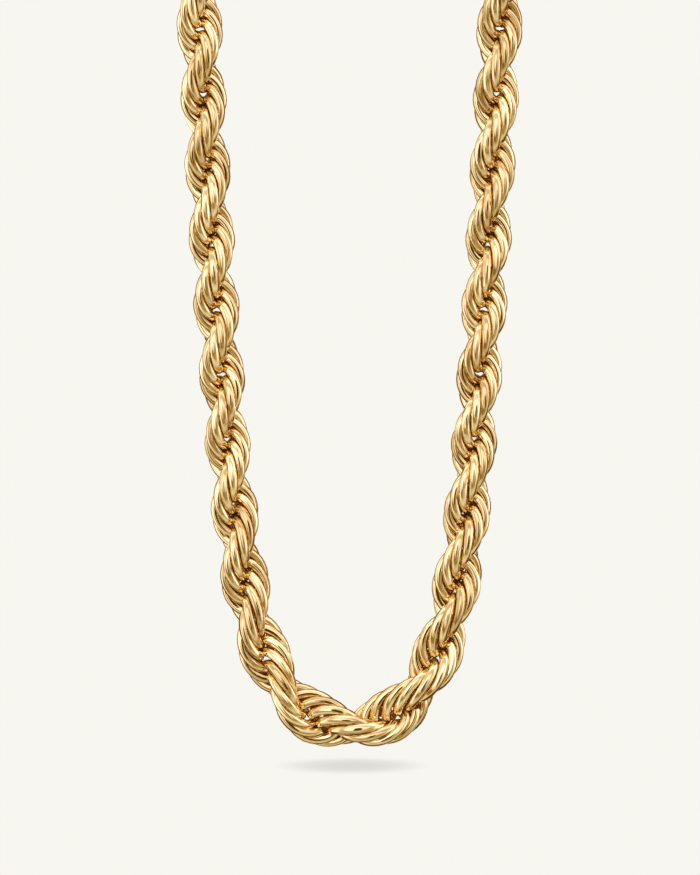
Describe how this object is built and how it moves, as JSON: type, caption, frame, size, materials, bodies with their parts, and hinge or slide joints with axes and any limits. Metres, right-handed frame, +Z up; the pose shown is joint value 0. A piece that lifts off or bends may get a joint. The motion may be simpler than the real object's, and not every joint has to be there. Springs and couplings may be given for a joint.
{
  "type": "rope chain necklace",
  "caption": "Thick rope chain necklace of interlocked C-shaped wire rings in a right-handed twist, closed by a plain barrel clasp.",
  "frame": {"origin": "under the middle of the clasp barrel, where the necklace hangs", "axes": "+Z up along the hanging loop, +X across the loop, -Y toward the viewer of the picture"},
  "size_m": [0.0648, 0.0092, 0.2037],
  "materials": {
    "gold_wire": "polished yellow gold plate",
    "gold_clasp": "polished yellow gold plate"
  },
  "bodies": {
    "root": {"rope_chain": "gold_wire", "clasp": "gold_clasp"}
  },
  "joints": []
}
